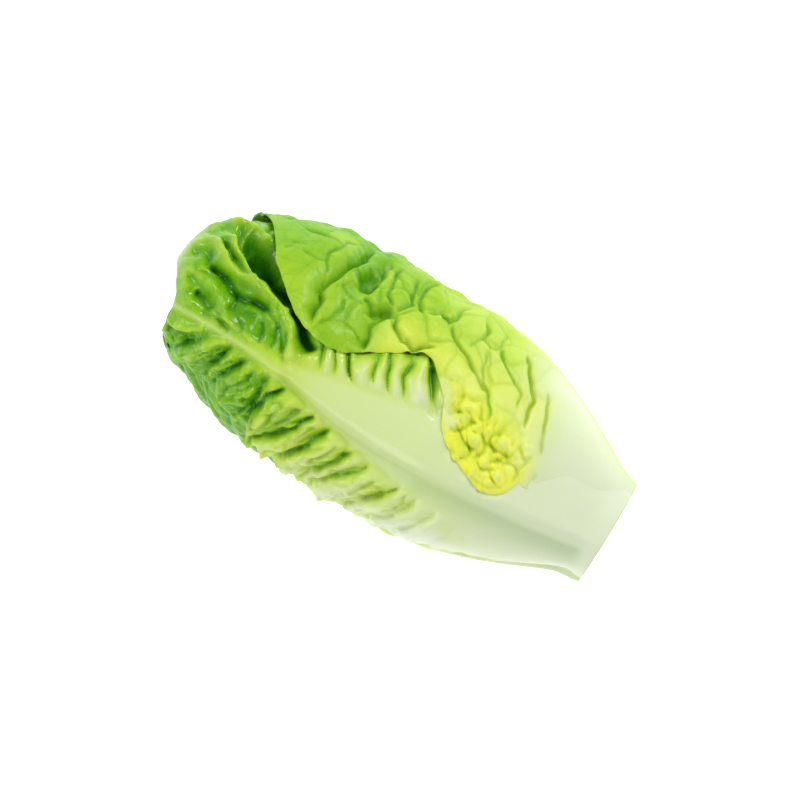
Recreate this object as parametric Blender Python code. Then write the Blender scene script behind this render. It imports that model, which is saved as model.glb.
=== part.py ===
"""A small cos-lettuce head (Little Gem type), cut at the stem and lying on its side.

Eighteen leaves sit round a short cone of stem, three to a ring and six rings deep, each leaf a curved
shell nested inside the one before it.  The head lies along X, cut end at -X and leaf tips at +X, and
rests on a patch of the outermost leaf that its own weight has pressed flat.

Along the head, "station" is the distance from the cut end.  Round it, "bearing" is the angle in degrees
about the head's axis, 0 straight up and 90 towards -Y.
"""

import bmesh
import bpy
import numpy as np

MM = 0.001

# Driving dimensions, in millimetres.
HEAD_LENGTH = 160.0
BELLY_RADIUS = 41.0
AXIS_HEIGHT = 34.5  # of the head's axis above the table
FLATNESS = 0.90  # height over width of the head's cross-section
RING_PITCH = 6.2  # radial step from one ring of three leaves to the next, at the belly
LEAF_PITCH = 2.05  # radial step from one leaf to the next in a ring, at the belly
SETTLED_STATION = 12.0  # by here each leaf of a ring is a full step inside the one before
STEM_GAP = 0.3  # left between a leaf and the stem that it grows from

RINGS = 6
LEAVES_IN_RING = 3
FIRST_BEARING = 109.0
RING_TWIST = 60.0  # every second ring is turned this far, so that its leaves cover the joints
PAIR_TWIST = 23.0  # each pair of rings is turned this much further

# The head's outline, as (station, radius), and the stem's.
HEAD_OUTLINE = (
    (0, 17.6), (6, 19.5), (12.5, 23), (25, 29.7), (38, 35.4), (50, 39.2), (66, 41),
    (94, 41), (118, 39), (132, 34.4), (144, 26.8), (152, 20), (158, 12), (160, 7),
)
STEM_OUTLINE = ((0, 12.3), (5, 10.7), (11, 9.3), (18, 7.3), (27, 4.6), (34, 2.3), (37, 0.8))
BELLY_STATION = 90.0  # past it, the shorter leaves close in sooner

# Thickness at the midrib along a leaf, as (share of the head's length, millimetres), and at the margin.
MIDRIB_THICKNESS = ((0, 2.0), (0.08, 1.05), (0.3, 1.1), (0.6, 1.3), (0.8, 0.85), (1, 0.6))
MARGIN_THICKNESS = 0.5

# How far a leaf reaches round the head on each side of its midrib, as (share of its length, degrees).
LEAF_SPAN = ((0, 55), (0.08, 56), (0.25, 66), (0.45, 92), (0.78, 90), (0.92, 74), (1, 52))
# The outermost leaf wraps over its neighbour in three lobes, and under the head to the resting patch.
LAPPING_SPAN = (
    (0, 55), (0.06, 57), (0.12, 92), (0.2, 110), (0.27, 124), (0.35, 118), (0.41, 106), (0.5, 84),
    (0.57, 90), (0.7, 103), (0.79, 98), (0.9, 74), (1, 44),
)
LAPPING_TIP_SHORT = 12.0
UNDER_SPAN = ((0, 55), (0.08, 56), (0.25, 72), (0.42, 96), (0.8, 96), (0.92, 70), (1, 44))
# The leaf on top has a short side, where its free edge shows the leaves behind it.
FREE_SPAN = ((0, 55), (0.08, 56), (0.25, 62), (0.45, 68), (0.68, 60), (0.8, 50), (0.92, 50), (1, 42))

# Spacing of an outer leaf's columns of points in degrees and of its rows in millimetres, and how much
# each ring further in adds to them.
ACROSS_STEP, ACROSS_STEP_MORE = 13.0, 2.5
ALONG_STEP, ALONG_STEP_MORE = 11.5, 0.8
END_CROWDING = 0.45  # draws rows towards both ends, where a leaf bends most
TIP_ROUNDING = 0.10  # how far back a leaf's shoulders lie from its tip, as a share of its length
STEM_SIDES = 28

LEAF_GREEN = ((0.32, 0.52, 0.08), (0.50, 0.64, 0.16), (0.74, 0.80, 0.34))  # outer, middle, heart
STEM_WHITE = (0.86, 0.90, 0.72)


def curve_through(points, x):
    """The height at x of a smooth curve through points, which never overshoots them."""
    px, py = np.array(points, float).T
    step = np.diff(py) / np.diff(px)
    inner = np.where(step[:-1] * step[1:] > 0, 2 * step[:-1] * step[1:] / (step[:-1] + step[1:] + 1e-12), 0)
    slope = np.concatenate([step[:1], inner, step[-1:]])
    x = np.clip(x, px[0], px[-1])
    i = np.clip(np.searchsorted(px, x, side="right") - 1, 0, len(px) - 2)
    width = px[i + 1] - px[i]
    t = (x - px[i]) / width
    return (
        (1 + 2 * t) * (1 - t) ** 2 * py[i]
        + t * (1 - t) ** 2 * width * slope[i]
        + t**2 * (3 - 2 * t) * py[i + 1]
        + t**2 * (t - 1) * width * slope[i + 1]
    )


def ramp(x, start, end):
    t = np.clip((x - start) / (end - start), 0, 1)
    return t * t * (3 - 2 * t)


class Leaf:
    """One leaf's place in the head: its ring, its turn in that ring, and how far it reaches."""

    def __init__(self, number):
        self.number = number
        self.ring, self.turn = divmod(number, LEAVES_IN_RING)
        kind = ("outer", "middle", "heart")[self.ring // 2]
        self.name = f"{kind}_leaf_{number + 1:02d}"
        self.colour = LEAF_GREEN[self.ring // 2]
        self.bearing = (
            FIRST_BEARING
            - self.turn * 360 / LEAVES_IN_RING
            + RING_TWIST * (self.ring % 2)
            + PAIR_TWIST * (self.ring // 2)
        )
        behind = max(number - 1, 0)  # the first two leaves both reach the end of the head's outline
        self.closing = HEAD_LENGTH - 1.2 * behind - 0.14 * behind**2
        self.tip = self.closing - (LAPPING_TIP_SHORT if number == 0 else 0)
        self.low_span = {0: LAPPING_SPAN, 1: FREE_SPAN}.get(number, LEAF_SPAN)
        self.high_span = UNDER_SPAN if number == 0 else LEAF_SPAN
        self.start = self.first_clear_station()

    def outer_radius(self, station):
        """The radius of the leaf's outer face, before the head's cross-section is flattened."""
        past = np.maximum(station - BELLY_STATION, 0)
        stretch = (HEAD_LENGTH - BELLY_STATION) / (self.closing - BELLY_STATION)
        shape = curve_through(HEAD_OUTLINE, np.minimum(station, BELLY_STATION) + past * stretch)
        inset = self.ring * RING_PITCH + self.turn * LEAF_PITCH * ramp(station, 0, SETTLED_STATION)
        return shape * (1 - inset / BELLY_RADIUS)

    def thickness(self, station, across):
        middle = curve_through(MIDRIB_THICKNESS, station / HEAD_LENGTH)
        return middle + (MARGIN_THICKNESS - middle) * np.abs(across) ** 1.5

    def first_clear_station(self):
        """Where the leaf's inner face first clears the stem, which is where it grows out."""
        stations = np.arange(0, HEAD_LENGTH / 2, 0.25)
        room = self.outer_radius(stations) - self.thickness(stations, 0) - STEM_GAP
        return float(stations[np.argmax(room >= curve_through(STEM_OUTLINE, stations))])

    def grid_size(self):
        widest = max(s for _, s in self.low_span) + max(s for _, s in self.high_span)
        row_step = ALONG_STEP + ALONG_STEP_MORE * self.ring
        column_step = ACROSS_STEP + ACROSS_STEP_MORE * self.ring
        return round((self.tip - self.start) / row_step), round(widest / column_step)


def in_head(station, bearing, radius, inset):
    """The point at a place in the head.  inset is how far inside the head's skin its surface lies."""
    angle = np.radians(bearing)
    radius = radius / np.hypot(np.sin(angle), np.cos(angle) / FLATNESS)
    down = np.maximum(-np.cos(angle), 1e-6)
    radius = np.minimum(radius, AXIS_HEIGHT * (1 - inset / BELLY_RADIUS) / down)
    return np.stack(
        [station, -radius * np.sin(angle), AXIS_HEIGHT + radius * np.cos(angle)], axis=-1
    ) * MM


def leaf_points(leaf, along, across, inward):
    """Places for the slab's points: along 0 to 1, across -1 to 1, and inward 0 or 1 through the leaf."""
    crowded = along - END_CROWDING * np.sin(2 * np.pi * along) / (2 * np.pi)
    share = crowded * (1 - TIP_ROUNDING * np.abs(across) ** 2.5 * ramp(along, 0.6, 1.0))
    station = leaf.start + share * (leaf.tip - leaf.start)
    low, high = curve_through(leaf.low_span, share), curve_through(leaf.high_span, share)
    bearing = leaf.bearing + across * np.where(across < 0, low, high)
    skin = leaf.outer_radius(station)
    nudge = 0.5
    slope = (leaf.outer_radius(station + nudge) - leaf.outer_radius(station - nudge)) / (2 * nudge)
    slope = np.where(station < leaf.start + nudge, 0, slope)
    depth = inward * leaf.thickness(station, across)
    lean = np.hypot(slope, 1)
    thinned_station = station + depth * slope / lean
    thinned_radius = skin - depth / lean
    inset = (leaf.ring * RING_PITCH + leaf.turn * LEAF_PITCH) + depth
    return in_head(thinned_station, bearing, thinned_radius, inset)


def material(name, colour, roughness):
    made = bpy.data.materials.new(name)
    made.use_nodes = True
    shader = made.node_tree.nodes["Principled BSDF"]
    shader.inputs["Base Color"].default_value = (*colour, 1)
    shader.inputs["Roughness"].default_value = roughness
    shader.inputs["Metallic"].default_value = 0.0
    return made


def add_object(name, bm, made_of, collection):
    mesh = bpy.data.meshes.new(name)
    bm.to_mesh(mesh)
    bm.free()
    mesh.shade_smooth()
    mesh.set_sharp_from_angle(angle=np.radians(40))
    mesh.materials.append(made_of)
    made = bpy.data.objects.new(name, mesh)
    collection.objects.link(made)
    return made


def make_leaf(leaf, collection):
    """A flat slab of leaf is cut to a grid, then every point is carried to its place in the head."""
    rows, columns = leaf.grid_size()
    bm = bmesh.new()
    bmesh.ops.create_grid(bm, x_segments=rows, y_segments=columns, size=1)
    grown = bmesh.ops.extrude_face_region(bm, geom=bm.faces[:], use_keep_orig=True)
    inner = [part for part in grown["geom"] if isinstance(part, bmesh.types.BMVert)]
    bmesh.ops.translate(bm, verts=inner, vec=(0, 0, 1))
    bmesh.ops.recalc_face_normals(bm, faces=bm.faces)
    flat = np.array([vert.co for vert in bm.verts])
    placed = leaf_points(leaf, (flat[:, 0] + 1) / 2, flat[:, 1], flat[:, 2])
    for vert, place in zip(bm.verts, placed):
        vert.co = place
    return add_object(leaf.name, bm, material(leaf.name, leaf.colour, 0.45), collection)


def make_stem(collection):
    """The cone of stem inside the head, from the flat cut face to its growing point."""
    bm = bmesh.new()
    outline = [(0, 0)] + list(STEM_OUTLINE)
    profile = [bm.verts.new((station * MM, 0, radius * MM)) for station, radius in outline]
    tip = bm.verts.new((HEAD_LENGTH * 0.235 * MM, 0, 0))
    profile.append(tip)
    edges = [bm.edges.new(pair) for pair in zip(profile, profile[1:])]
    bmesh.ops.spin(
        bm, geom=profile + edges, cent=(0, 0, 0), axis=(1, 0, 0), angle=2 * np.pi,
        steps=STEM_SIDES, use_merge=True,
    )
    bmesh.ops.remove_doubles(bm, verts=bm.verts, dist=1e-6)
    bmesh.ops.recalc_face_normals(bm, faces=bm.faces)
    bmesh.ops.scale(bm, verts=bm.verts, vec=(1, 1, FLATNESS))
    bmesh.ops.translate(bm, verts=bm.verts, vec=(0, 0, AXIS_HEIGHT * MM))
    return add_object("stem", bm, material("stem", STEM_WHITE, 0.5), collection)


def centre_over_origin(objects):
    """Moves the head so that the origin is on the table, under the middle of its box."""
    corners = np.array([vert.co for obj in objects for vert in obj.data.vertices])
    low, high = corners.min(axis=0), corners.max(axis=0)
    shift = np.array([-(low[0] + high[0]) / 2, -(low[1] + high[1]) / 2, -low[2]])
    for obj in objects:
        obj.location = shift


def main():
    for obj in list(bpy.data.objects):
        bpy.data.objects.remove(obj)
    head = bpy.data.collections.new("lettuce_head")
    bpy.context.scene.collection.children.link(head)
    pieces = [make_leaf(Leaf(number), head) for number in range(RINGS * LEAVES_IN_RING)]
    pieces.append(make_stem(head))
    centre_over_origin(pieces)


main()
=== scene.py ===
"""The looks of a small cos-lettuce head, cut at the stem and lying on its side.

Each leaf is a thin closed slab, laid out flat as a grid and carried to its place round the head, with its
midrib, pleats, pillows and creases worked into the mesh.  The leaves are made from the outside in, and
each one is held down under those made before it.

Along the head, "station" is the distance in millimetres from the cut end.  Round it, "bearing" is in
degrees, 0 straight up and 90 towards -Y.  "Sideways" is a place's distance from the axis as seen from
above, towards -Y, and "arc" is that distance measured over the leaf's skin.
"""

import bmesh
import bpy
import numpy as np
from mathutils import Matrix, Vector


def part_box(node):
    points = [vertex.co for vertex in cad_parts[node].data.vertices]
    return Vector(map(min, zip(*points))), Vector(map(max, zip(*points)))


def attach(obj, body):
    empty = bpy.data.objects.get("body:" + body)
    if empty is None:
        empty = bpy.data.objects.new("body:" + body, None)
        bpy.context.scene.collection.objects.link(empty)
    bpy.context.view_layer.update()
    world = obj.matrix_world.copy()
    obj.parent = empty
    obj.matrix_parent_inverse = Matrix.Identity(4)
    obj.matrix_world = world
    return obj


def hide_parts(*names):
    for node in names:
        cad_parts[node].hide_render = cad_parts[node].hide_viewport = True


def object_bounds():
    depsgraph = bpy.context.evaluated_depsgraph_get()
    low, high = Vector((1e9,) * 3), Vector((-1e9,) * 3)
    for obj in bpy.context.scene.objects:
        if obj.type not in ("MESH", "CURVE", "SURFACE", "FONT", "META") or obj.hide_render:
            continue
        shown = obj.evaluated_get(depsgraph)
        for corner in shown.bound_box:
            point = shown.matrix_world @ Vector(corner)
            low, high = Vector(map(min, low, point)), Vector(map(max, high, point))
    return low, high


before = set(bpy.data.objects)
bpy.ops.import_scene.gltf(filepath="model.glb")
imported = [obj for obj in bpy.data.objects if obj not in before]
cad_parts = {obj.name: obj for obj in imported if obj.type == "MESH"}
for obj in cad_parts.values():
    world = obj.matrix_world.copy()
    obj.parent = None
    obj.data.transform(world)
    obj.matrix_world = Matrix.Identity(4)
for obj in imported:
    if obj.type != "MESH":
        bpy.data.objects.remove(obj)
cad_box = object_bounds()

MM = 0.001
stem_low, stem_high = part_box("stem")
CUT_X = stem_low.x / MM
AXIS_Y = (stem_low.y + stem_high.y) / 2 / MM
AXIS_Z = (stem_low.z + stem_high.z) / 2 / MM

# The head's build, as its solids have it.
HEAD_LENGTH = (cad_box[1].x - cad_box[0].x) / MM
BELLY_RADIUS = 41.0
BELLY_STATION = 90.0
FLATNESS = 0.90
RING_PITCH = 6.2
LEAF_PITCH = 2.05
SETTLED_STATION = 12.0
RINGS = 6
LEAVES_IN_RING = 3
FIRST_BEARING = 109.0
RING_TWIST = 60.0
PAIR_TWIST = 23.0
LAPPING_TIP_SHORT = 13.0
INNER_TIP_SHORT = 5.0

HEAD_OUTLINE = (
    (0, 17.6), (6, 19.1), (12.5, 22.4), (25, 29), (38, 34.6), (50, 38.2), (66, 39.9), (94, 39.9),
    (118, 38.7), (132, 34.4), (144, 29.4), (151, 26.4), (156, 22.4), (159, 16), (160, 9),
)
STEM_OUTLINE = ((0, 12.3), (5, 10.7), (11, 9.3), (18, 7.3), (27, 4.6), (34, 2.3), (37, 0.8))
LEAF_SPAN = ((0, 66), (0.08, 66), (0.25, 68), (0.45, 92), (0.78, 92), (0.92, 80), (1, 66))
UNDER_SPAN = ((0, 66), (0.08, 66), (0.25, 74), (0.42, 96), (0.8, 96), (0.92, 78), (1, 60))
RIB_THICKNESS = ((0, 2.6), (0.06, 1.5), (0.3, 1.3), (0.6, 1.1), (0.8, 0.8), (1, 0.5))
MARGIN_THICKNESS = 0.45

LAPPING, FRONT, LOWER = 0, 1, 2  # the three outermost leaves, by number

# The lapping leaf's free margin over the front of the head, as (station, sideways).
LAPPING_MARGIN = (
    (0, 14.0), (6, 9.0), (10, 5.4), (13, 4.3), (20, 4.2), (25, 1), (28, -1), (32.5, -2), (34.5, -5.8),
    (37.8, -9.1), (41, -10), (45.6, -8.4), (55, -4.9), (61.6, 0.3), (66, 8.6), (71.4, 14.5), (75.5, 18),
    (79, 18.4), (82, 17), (85, 14.2), (90, 11.5), (94.7, 8.7), (99.8, 5.2), (105, 4), (111.6, 4.6),
    (117, 6.7), (125.4, 12.8), (134.6, 20), (143, 25.6), (148, 28),
)
FRONT_MARGIN = (
    (0, -17.2), (12, -21.6), (20, -25.4), (30, -29.4), (42, -33.2), (55, -35.6), (73, -36.8), (84, -37),
    (97, -36.4), (110, -34.8), (112.4, -34.2), (114, -30.9), (118, -30.5), (123, -29.7), (129, -26.6),
    (135, -24.6), (143, -24.5), (151, -20.3), (158, -15),
)
FRONT_TIP_DROP = ((-1, 8), (-0.5, 7.5), (-0.15, 6), (0.1, 3), (0.35, 0.5), (0.6, 0), (0.9, 0.3), (1, 2))


def curve_through(points, x):
    """The height at x of a smooth curve through points, which never overshoots them."""
    px, py = np.array(points, float).T
    step = np.diff(py) / np.diff(px)
    inner = np.where(step[:-1] * step[1:] > 0, 2 * step[:-1] * step[1:] / (step[:-1] + step[1:] + 1e-12), 0)
    slope = np.concatenate([step[:1], inner, step[-1:]])
    x = np.clip(x, px[0], px[-1])
    i = np.clip(np.searchsorted(px, x, side="right") - 1, 0, len(px) - 2)
    width = px[i + 1] - px[i]
    t = (x - px[i]) / width
    return (
        (1 + 2 * t) * (1 - t) ** 2 * py[i]
        + t * (1 - t) ** 2 * width * slope[i]
        + t**2 * (3 - 2 * t) * py[i + 1]
        + t**2 * (t - 1) * width * slope[i + 1]
    )


def ramp(x, start, end):
    """0 up to start and 1 from end on, with a smooth rise between them."""
    t = np.clip((x - start) / (end - start), 0, 1)
    return t * t * (3 - 2 * t)


def bump(x, low, high, soft):
    """1 between low and high, fading to 0 over soft outside them."""
    return ramp(x, low - soft, low) * (1 - ramp(x, high, high + soft))


def waves(x, y, seed, size, count=9):
    """A smooth random surface between about -1 and 1, with waves of about size millimetres."""
    rng = np.random.default_rng(seed)
    total = np.zeros(np.broadcast(x, y).shape)
    for _ in range(count):
        turn, phase = rng.uniform(0, 2 * np.pi, 2)
        length = size * rng.uniform(0.7, 1.5)
        total += np.sin(2 * np.pi * (x * np.cos(turn) + y * np.sin(turn)) / length + phase)
    return total / np.sqrt(count) / 1.4


def crumple(x, y, seed, size):
    """A surface like paper once crushed and opened out: rounded swells between sharp creases."""
    coarse = np.abs(waves(x, y, seed, size)) + 0.5 * np.abs(waves(x, y, seed + 1, size * 0.55))
    return coarse - 0.7


def cells(x, y, seeds):
    """Distance to the border of the cell round the nearest seed, and that seed's number."""
    nearest = np.full(x.shape, 1e9)
    second = np.full(x.shape, 1e9)
    which = np.zeros(x.shape, int)
    for number, (sx, sy) in enumerate(seeds):
        away = np.hypot(x - sx, y - sy)
        closer = away < nearest
        second = np.where(closer, nearest, np.minimum(second, away))
        which = np.where(closer, number, which)
        nearest = np.where(closer, away, nearest)
    return (second - nearest) / 2, which


def jittered_cells(x, y, seed, width, height):
    """The same for endless cells of about width by height, as a distance in units of one cell."""
    rng = np.random.default_rng(seed)
    repeat = 64
    table = rng.uniform(0.12, 0.88, (repeat, repeat, 2))
    u, v = x / width, y / height
    i0, j0 = np.floor(u).astype(int), np.floor(v).astype(int)
    nearest = np.full(u.shape, 1e9)
    second = np.full(u.shape, 1e9)
    which = np.zeros(u.shape)
    for di in (-1, 0, 1):
        for dj in (-1, 0, 1):
            i, j = i0 + di, j0 + dj
            spot = table[i % repeat, j % repeat]
            away = np.hypot(u - i - spot[..., 0], v - j - spot[..., 1])
            closer = away < nearest
            second = np.where(closer, nearest, np.minimum(second, away))
            which = np.where(closer, spot[..., 0] + spot[..., 1], which)
            nearest = np.where(closer, away, nearest)
    return (second - nearest) / 2, which % 1.0


def distance_to(line, x, y):
    """Each point's distance to a line, the side it is on, how far along the line it is, 0 to 1, and
    whether it lies ahead of the line, towards the tips."""
    best = np.full(x.shape, 1e9)
    side = np.zeros(x.shape)
    share = np.zeros(x.shape)
    ahead = np.zeros(x.shape, bool)
    pieces = len(line) - 1
    for number in range(pieces):
        (x0, y0), (x1, y1) = line[number], line[number + 1]
        dx, dy = x1 - x0, y1 - y0
        u = np.clip(((x - x0) * dx + (y - y0) * dy) / (dx * dx + dy * dy), 0, 1)
        ex, ey = x - (x0 + u * dx), y - (y0 + u * dy)
        away = np.hypot(ex, ey)
        nearer = away < best
        best = np.where(nearer, away, best)
        side = np.where(nearer, np.sign(dx * ey - dy * ex), side)
        share = np.where(nearer, (number + u) / pieces, share)
        ahead = np.where(nearer, ex > 0, ahead)
    return best, side, share, ahead


def blurred(field, passes):
    """The field with its fine relief smoothed away."""
    for _ in range(passes):
        padded = np.pad(field, 1, mode="edge")
        field = (padded[:-2, 1:-1] + padded[2:, 1:-1] + padded[1:-1, :-2] + padded[1:-1, 2:] + 2 * field) / 6
    return field


class Leaf:
    """One leaf's place in the head: its ring, its turn in that ring, and how far it reaches."""

    def __init__(self, number):
        self.number = number
        self.ring, self.turn = divmod(number, LEAVES_IN_RING)
        self.kind = ("outer", "middle", "heart")[self.ring // 2]
        self.node = f"{self.kind}_leaf_{number + 1:02d}"
        self.bearing = (
            FIRST_BEARING
            - self.turn * 360 / LEAVES_IN_RING
            + RING_TWIST * (self.ring % 2)
            + PAIR_TWIST * (self.ring // 2)
        )
        behind = max(number - 2, 0)
        inner = number > FRONT
        self.closing = HEAD_LENGTH - inner * (INNER_TIP_SHORT + 1.1 * behind + 0.02 * behind**2)
        self.tip = self.closing - (LAPPING_TIP_SHORT if number == LAPPING else 1.0 if inner else 0)
        self.inset = self.ring * RING_PITCH + self.turn * LEAF_PITCH
        self.start = self.first_clear_station()

    def skin(self, station):
        """The radius of the leaf's outer face before its own relief."""
        past = np.maximum(station - BELLY_STATION, 0)
        stretch = (HEAD_LENGTH - BELLY_STATION) / (self.closing - BELLY_STATION)
        shape = curve_through(HEAD_OUTLINE, np.minimum(station, BELLY_STATION) + past * stretch)
        inset = self.ring * RING_PITCH + self.turn * LEAF_PITCH * ramp(station, 0, SETTLED_STATION)
        return shape * (1 - inset / BELLY_RADIUS)

    def first_clear_station(self):
        stations = np.arange(0, HEAD_LENGTH / 2, 0.25)
        room = self.skin(stations) - curve_through(RIB_THICKNESS, stations / HEAD_LENGTH)
        return float(stations[np.argmax(room >= curve_through(STEM_OUTLINE, stations) - 0.4)])

    def seen_at(self, margin, station):
        """The bearing at which a margin given as (station, sideways) lies."""
        reach = np.clip(curve_through(margin, station) / self.skin(station), -0.995, 0.995)
        return np.degrees(np.arcsin(reach))

    def margins(self, station):
        share = (station - self.start) / (self.tip - self.start)
        low = self.bearing - curve_through(LEAF_SPAN, share)
        high = self.bearing + curve_through(UNDER_SPAN if self.number == LAPPING else LEAF_SPAN, share)
        if self.number == LAPPING:
            low = self.seen_at(LAPPING_MARGIN, station) + 0.5 * waves(station, 0 * station, 51, 5)
        if self.number == FRONT:
            wavy = 0.5 + 2.0 * bump(station, 94, 112, 3) + bump(station, 18, 46, 4)
            low = self.seen_at(FRONT_MARGIN, station) - wavy * waves(station, 0 * station, 52, 4)
        return low, high

    def crowded(self, across):
        """Draws an outermost leaf's columns together towards the side of it that shows most."""
        shift = {LAPPING: 0.33, FRONT: 0.16}.get(self.number, 0)
        return across - shift * (1 - across**2)

    def tip_drop(self, across):
        """How far short of the leaf's tip each of its columns ends."""
        if self.number == FRONT:
            return curve_through(FRONT_TIP_DROP, across)
        return 14 * np.abs(across) ** 2.5

    def over_skin(self, line):
        """A line given as (station, sideways), as (station, arc)."""
        points = []
        for station, sideways in line:
            radius = float(self.skin(np.array(station)))
            points.append((station, radius * np.arcsin(np.clip(sideways / radius, -1, 1))))
        return points


class Sheet:
    """A leaf laid out as rows along the head and columns across it, with its relief and its colours, painted
    shade among them.
    """

    def __init__(self, leaf, rows, columns):
        self.leaf = leaf
        self.rows, self.columns = rows, columns
        along = np.linspace(0, 1, rows + 1)[:, None]
        across = leaf.crowded(np.linspace(-1, 1, columns + 1))[None, :]
        length = leaf.tip - leaf.start
        share = along * (1 - leaf.tip_drop(across) / length * ramp(along, 0.6, 1.0))
        self.station = leaf.start + share * length
        low, high = leaf.margins(self.station)
        turned = np.where(across < 0, across * (leaf.bearing - low), across * (high - leaf.bearing))
        self.bearing = leaf.bearing + turned
        self.skin = leaf.skin(self.station)
        self.arc = self.skin * np.radians(self.bearing)
        self.out = self.skin * np.radians(turned)
        self.sideways = self.skin * np.sin(np.radians(self.bearing))
        self.across = across + 0 * along
        span = np.where(across < 0, leaf.bearing - low, high - leaf.bearing)
        self.edge = (1 - np.abs(across)) * self.skin * np.radians(span)
        self.end = (1 - along) * length + 0 * across
        self.x, self.y = self.station, self.arc
        self.lift = np.zeros(self.station.shape)
        self.tone = np.zeros(self.station.shape)
        self.rib = np.zeros(self.station.shape)
        self.painted_shade = np.zeros(self.station.shape)
        self.warm = np.zeros(self.station.shape)

    def wander(self, amount, size, seed):
        """Shakes the places x and y a little, so that lines drawn by them wander."""
        self.x = self.station + amount * waves(self.station, self.arc, seed, size)
        self.y = self.arc + amount * waves(self.station, self.arc, seed + 1, size)

    def settle(self):
        """Lines drawn from here on run straight again."""
        self.x, self.y = self.station, self.arc

    def thickness(self):
        middle = curve_through(RIB_THICKNESS, self.station / HEAD_LENGTH)
        full = middle + (MARGIN_THICKNESS - middle) * np.minimum(np.abs(self.across) * 1.15, 1) ** 1.2
        return full * (0.35 + 0.65 * ramp(self.edge, 0, 3.0))


def fold_line(sheet, line, rise, below, above, fade=0.12, where=1.0):
    """Raises or sinks the sheet along a line, over one width on each side of it."""
    away, side, share, _ = distance_to(sheet.leaf.over_skin(line), sheet.x, sheet.y)
    near = np.exp(-((away / np.where(side > 0, above, below)) ** 2))
    ends = ramp(share, -0.001, fade) * ramp(1 - share, -0.001, fade)
    sheet.lift += rise * near * (0.25 + 0.75 * ends) * where
    return near * ends * where


# ---------------------------------------------------------------- relief that every leaf has

def midrib(sheet, weight=1.0):
    """A broad keel of rib at the base of the leaf, narrowing to a raised line at its tip."""
    station = sheet.station
    height = curve_through(((0, 0.6), (15, 1.6), (60, 1.7), (100, 1.2), (130, 0.7), (160, 0.4)), station)
    width = curve_through(((0, 14), (40, 12), (70, 7.5), (100, 3.6), (130, 1.6), (160, 1.0)), station)
    away = np.abs(sheet.out + 0.8 * waves(station, 0 * station, sheet.leaf.number, 60))
    profile = np.exp(-((away / width) ** 1.5))
    sheet.lift += weight * height * profile
    paleness = weight * (1 - 0.8 * ramp(station, 105, 140))
    sheet.rib = np.maximum(sheet.rib, paleness * np.exp(-((away / (width * 0.9)) ** 3)))


def side_veins(sheet, weight=1.0, seed=0):
    """Blade puckered between side veins that slant forward from the midrib, with painted shade in the valleys
    and along the puckers' borders.
    """
    leaf, station, out = sheet.leaf, sheet.station, sheet.out
    side = 300 * (out > 0)
    x = station - 0.62 * np.abs(out) + 2.2 * waves(station, out + side, seed + 1, 26)
    run = x / 12.5 + 0.3 * waves(x, out + side, seed + 2, 34)
    swell = np.abs(np.sin(np.pi * run)) ** 0.65
    grown = ramp(station, 34, 88) * ramp(np.abs(out), 2.5, 11.0)
    puckers = crumple(x, 1.2 * out + side, seed + 3, 14)
    big, value = jittered_cells(x + 0.8 * puckers, out + side, seed + 4, 7.5, 9.5)
    dimple = (0.6 + 0.5 * value) * (1 - np.exp(-big * 8))
    sheet.lift += weight * grown * (1.5 * swell + 1.0 * puckers + 0.7 * dimple - 1.5)
    sheet.lift += weight * grown * 0.6 * waves(station, out, seed + 5, 26)
    valley = np.exp(-np.abs(np.sin(np.pi * run)) * 6)
    sheet.painted_shade = np.maximum(sheet.painted_shade, weight * grown * np.maximum(0.7 * valley, 0.45 * np.exp(-big * 14)))
    edge = np.exp(-sheet.edge / 6.0) * ramp(station, 30, 70)
    ruffle = np.sin(2 * np.pi * (station / 11 + 0.6 * waves(station, out, seed + 6, 40)))
    sheet.lift += weight * edge * (0.9 * ruffle + 0.7 * waves(station, out, seed + 7, 8))


def growth_tone(sheet, green=0.85, pale_until=18, green_from=112):
    """Pale at the base and along the midrib, green towards the tip and the margins."""
    station, out = sheet.station, np.abs(sheet.out)
    shift = station + 0.35 * np.minimum(out, 30) + 3.0 * waves(station, sheet.out, sheet.leaf.number + 40, 22)
    sheet.tone = green * np.clip((shift - pale_until) / (green_from - pale_until), 0, 1.1) ** 1.15


def shade_by_relief(sheet):
    """Painted light from the relief: the blade is painted deeper green in its hollows as shade, and paler on
    its crests as a highlight.
    """
    relief = sheet.lift - blurred(sheet.lift, 24)
    grown = ramp(sheet.tone, 0.12, 0.45) * (0.5 if sheet.leaf.number == LAPPING else 1.0)
    sheet.painted_shade = np.maximum(sheet.painted_shade, grown * np.clip(-relief / 1.8 - 0.15, 0, 0.85))
    sheet.tone = sheet.tone + grown * (0.10 * np.clip(-relief, 0, 1.5) - 0.09 * np.clip(relief, 0, 1.4))


# ---------------------------------------------------------------- the front leaf

KEEL = (
    (0, -4), (12, -5.5), (40, -9), (60, -10.5), (80, -11.4), (100, -11.2), (112, -10), (127, -9.2),
    (140, -9.2), (153, -9.8),
)
KEEL_HEIGHT = ((0, 1.2), (12, 2.2), (30, 1.8), (65, 1.7), (90, 2.0), (115, 1.6), (130, 1.0), (155, 0.5))
KEEL_WIDTH_ABOVE = ((0, 12), (60, 24), (90, 15), (108, 7), (118, 3.0), (128, 1.4), (155, 0.9))
KEEL_WIDTH_BELOW = ((0, 7), (60, 8.5), (90, 6.5), (112, 3.8), (126, 1.5), (155, 0.9))
# The long dip that runs along the rib's lower side, also painted darker there as shade.
KEEL_SHADE = (
    (2, -9.5), (12, -11.2), (25, -13.4), (40, -15.4), (58, -17), (76, -17.4), (92, -16.2), (104, -14),
    (116, -11.6),
)
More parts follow.
